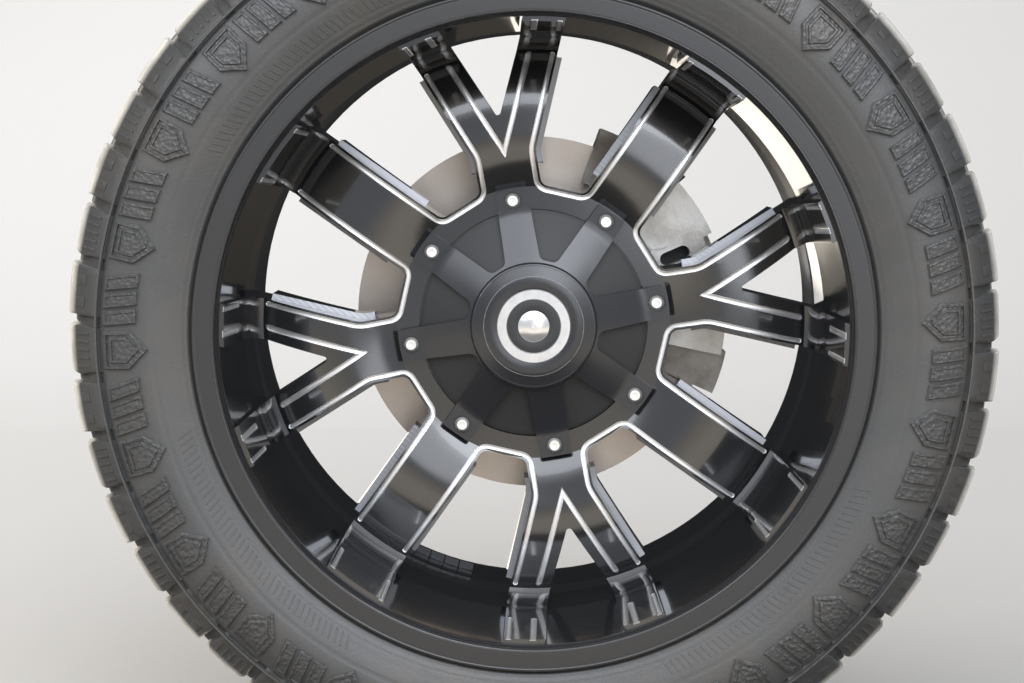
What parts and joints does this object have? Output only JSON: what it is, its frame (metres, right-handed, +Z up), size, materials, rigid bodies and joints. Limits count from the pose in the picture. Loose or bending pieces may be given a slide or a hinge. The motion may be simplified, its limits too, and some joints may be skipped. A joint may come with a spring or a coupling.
{
  "type": "off-road vehicle wheel end",
  "caption": "Wide off-road tyre on a deep black cast wheel with forked spokes and milled edges, bolted cap, disc brake and hub bearing.",
  "frame": {"origin": "middle of the four-bolt pattern on the anchor plate's inboard face, on the wheel's axis", "axes": "+Y inboard along the wheel's axis, +Z up, +X towards the vehicle's front"},
  "size_m": [0.8318, 0.3452, 0.8318],
  "materials": {
    "tyre_rubber": "matte",
    "gloss_black": "gloss",
    "cap_black": "satin",
    "bright": "polished",
    "zinc": "satin",
    "valve_rubber": "matte",
    "weight_grey": "satin",
    "disc_iron": "ground",
    "hub_iron": "cast",
    "caliper_paint": "satin",
    "bracket_iron": "cast",
    "steel": "satin",
    "dark_steel": "satin",
    "lining": "matte"
  },
  "bodies": {
    "axle_end": {"bearing_housing": "hub_iron", "anchor_plate": "dark_steel", "dust_shield": "dark_steel", "caliper_bracket": "bracket_iron", "caliper_body": "caliper_paint", "caliper_pistons": "steel", "guide_pins": "steel", "pin_boots": "valve_rubber", "bracket_bolts": "zinc", "bleed_screw": "zinc", "outer_pad_backing": "dark_steel", "outer_pad_lining": "lining", "inner_pad_lining": "lining", "inner_pad_backing": "dark_steel"},
    "wheel": {"tyre": "tyre_rubber", "wheel_casting": "gloss_black", "centre_cap": "cap_black", "cap_medallion": "bright", "cap_screws": "zinc", "wheel_studs": "steel", "lug_nuts": "steel", "valve_stem": "valve_rubber", "balance_weights": "weight_grey", "brake_disc": "disc_iron", "hub": "hub_iron"}
  },
  "joints": [
    {"name": "wheel_spin", "type": "hinge", "parent": "axle_end", "child": "wheel", "pos_m": [0, 0, 0], "axis": [0, 1, 0], "continuous": true}
  ]
}
